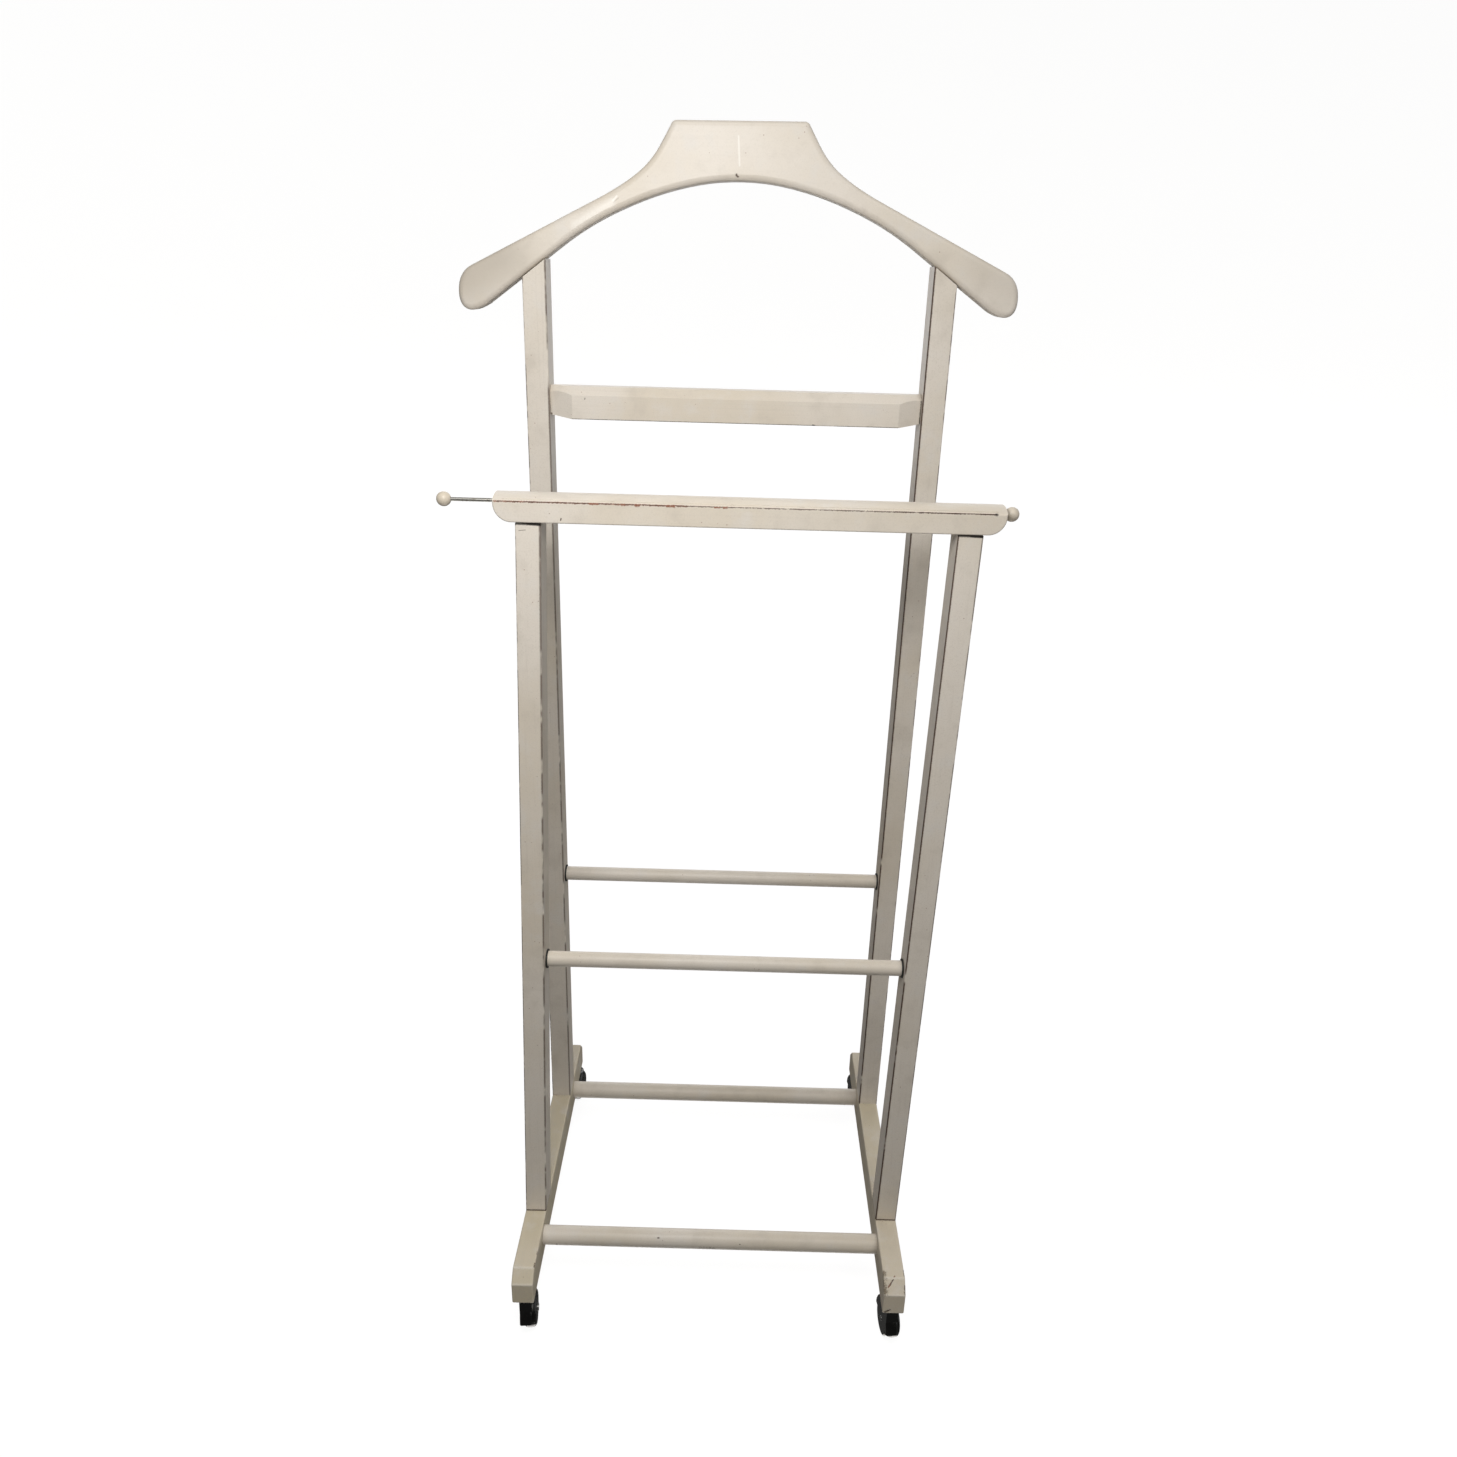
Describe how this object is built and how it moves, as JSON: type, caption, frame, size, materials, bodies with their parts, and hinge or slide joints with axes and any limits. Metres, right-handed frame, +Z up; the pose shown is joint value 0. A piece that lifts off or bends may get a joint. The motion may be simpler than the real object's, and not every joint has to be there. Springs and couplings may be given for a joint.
{
  "type": "valet stand",
  "caption": "Painted wooden valet stand on swivel casters: shoulder yoke on rear posts, lower front trouser bar with pull-out tie rods, and round dowel rails.",
  "frame": {"origin": "centre of the bounding box at floor level", "axes": "+X to the right seen from the front, +Y to the back, +Z up"},
  "size_m": [0.4698, 0.36, 1.0496],
  "materials": {
    "painted_wood": "aged satin ivory paint over wood",
    "painted_ball": "aged satin ivory paint over turned wood",
    "bare_wood": "unpainted beech",
    "rod_steel": "dulled plated steel",
    "bush_brass": "dull brass",
    "screw_steel": "zinc plated",
    "caster_metal": "zinc plated",
    "caster_hood": "glossy black",
    "caster_wheel": "worn black",
    "black_washer": "matte black"
  },
  "bodies": {
    "frame": {"yoke": "painted_wood", "yoke_pins": "bare_wood", "left_rear_post": "painted_wood", "right_rear_post": "painted_wood", "left_front_post": "painted_wood", "right_front_post": "painted_wood", "upper_rail": "painted_wood", "rail_pins": "bare_wood", "front_bar": "painted_wood", "left_rod_bush": "bush_brass", "right_rod_bush": "bush_brass", "rear_middle_dowel": "painted_wood", "front_middle_dowel": "painted_wood", "rear_bottom_dowel": "painted_wood", "front_bottom_dowel": "painted_wood", "rear_dowel_washers": "black_washer", "front_dowel_washers": "black_washer", "left_foot": "painted_wood", "right_foot": "painted_wood", "foot_screws": "screw_steel", "front_left_caster_socket": "caster_metal", "front_right_caster_socket": "caster_metal", "rear_left_caster_socket": "caster_metal", "rear_right_caster_socket": "caster_metal"},
    "left_rod": {"left_tie_rod": "rod_steel", "left_rod_stop": "bush_brass", "left_rod_ball": "painted_ball"},
    "right_rod": {"right_tie_rod": "rod_steel", "right_rod_stop": "bush_brass", "right_rod_ball": "painted_ball"},
    "front_left_swivel": {"front_left_caster_stem": "caster_metal", "front_left_caster_hood": "caster_hood", "front_left_caster_axle": "caster_metal"},
    "front_left_wheel": {"front_left_caster_wheel": "caster_wheel"},
    "front_right_swivel": {"front_right_caster_stem": "caster_metal", "front_right_caster_hood": "caster_hood", "front_right_caster_axle": "caster_metal"},
    "front_right_wheel": {"front_right_caster_wheel": "caster_wheel"},
    "rear_left_swivel": {"rear_left_caster_stem": "caster_metal", "rear_left_caster_hood": "caster_hood", "rear_left_caster_axle": "caster_metal"},
    "rear_left_wheel": {"rear_left_caster_wheel": "caster_wheel"},
    "rear_right_swivel": {"rear_right_caster_stem": "caster_metal", "rear_right_caster_hood": "caster_hood", "rear_right_caster_axle": "caster_metal"},
    "rear_right_wheel": {"rear_right_caster_wheel": "caster_wheel"}
  },
  "joints": [
    {"name": "left_rod_slide", "type": "slide", "parent": "frame", "child": "left_rod", "axis": [-1, 0, 0], "range_m": [-0.0345, 0.1115]},
    {"name": "right_rod_slide", "type": "slide", "parent": "frame", "child": "right_rod", "axis": [1, 0, 0], "range_m": [0, 0.146]},
    {"name": "front_left_swivel_turn", "type": "hinge", "parent": "frame", "child": "front_left_swivel", "pos_m": [-0.1715, -0.1678, 0.045], "axis": [0, 0, 1], "continuous": true},
    {"name": "front_left_wheel_spin", "type": "hinge", "parent": "front_left_swivel", "child": "front_left_wheel", "pos_m": [-0.16881, -0.15897, 0.017], "axis": [0.9945, 0.1045, 0], "continuous": true},
    {"name": "front_right_swivel_turn", "type": "hinge", "parent": "frame", "child": "front_right_swivel", "pos_m": [0.1715, -0.1678, 0.045], "axis": [0, 0, 1], "continuous": true},
    {"name": "front_right_wheel_spin", "type": "hinge", "parent": "front_right_swivel", "child": "front_right_wheel", "pos_m": [0.17404, -0.15893, 0.017], "axis": [0.9925, 0.1219, 0], "continuous": true},
    {"name": "rear_left_swivel_turn", "type": "hinge", "parent": "frame", "child": "rear_left_swivel", "pos_m": [-0.1715, 0.1502, 0.045], "axis": [0, 0, 1], "continuous": true},
    {"name": "rear_left_wheel_spin", "type": "hinge", "parent": "rear_left_swivel", "child": "rear_left_wheel", "pos_m": [-0.16675, 0.15812, 0.017], "axis": [0.9903, -0.1392, 0], "continuous": true},
    {"name": "rear_right_swivel_turn", "type": "hinge", "parent": "frame", "child": "rear_right_swivel", "pos_m": [0.1715, 0.1502, 0.045], "axis": [0, 0, 1], "continuous": true},
    {"name": "rear_right_wheel_spin", "type": "hinge", "parent": "rear_right_swivel", "child": "rear_right_wheel", "pos_m": [0.17388, 0.15912, 0.017], "axis": [0.9903, 0.1392, 0], "continuous": true}
  ]
}
